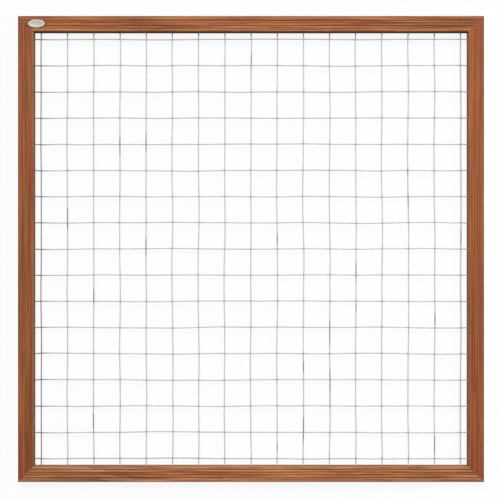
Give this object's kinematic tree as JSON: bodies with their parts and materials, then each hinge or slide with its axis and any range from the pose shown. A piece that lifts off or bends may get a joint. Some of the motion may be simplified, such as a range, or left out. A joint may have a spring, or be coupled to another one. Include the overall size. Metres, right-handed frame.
{
  "type": "framed wire mesh fence panel",
  "caption": "Square fence panel of welded galvanised wire mesh housed in a mitred hardwood frame with a reeded front.",
  "frame": {"origin": "on the floor under the middle of the panel, which lies on its back", "axes": "+X across the panel to its right-hand stile, +Y up the panel to its top rail, +Z out of its reeded front"},
  "size_m": [1.8, 1.8, 0.0445],
  "materials": {
    "stained_hardwood": "reddish-brown stained hardwood with a satin sheen",
    "galvanised_wire": "galvanised, dull light grey",
    "badge_metal": "pale stamped metal, satin"
  },
  "bodies": {
    "root": {"top_rail": "stained_hardwood", "bottom_rail": "stained_hardwood", "left_stile": "stained_hardwood", "right_stile": "stained_hardwood", "wire_mesh": "galvanised_wire", "oval_badge": "badge_metal"}
  },
  "joints": []
}
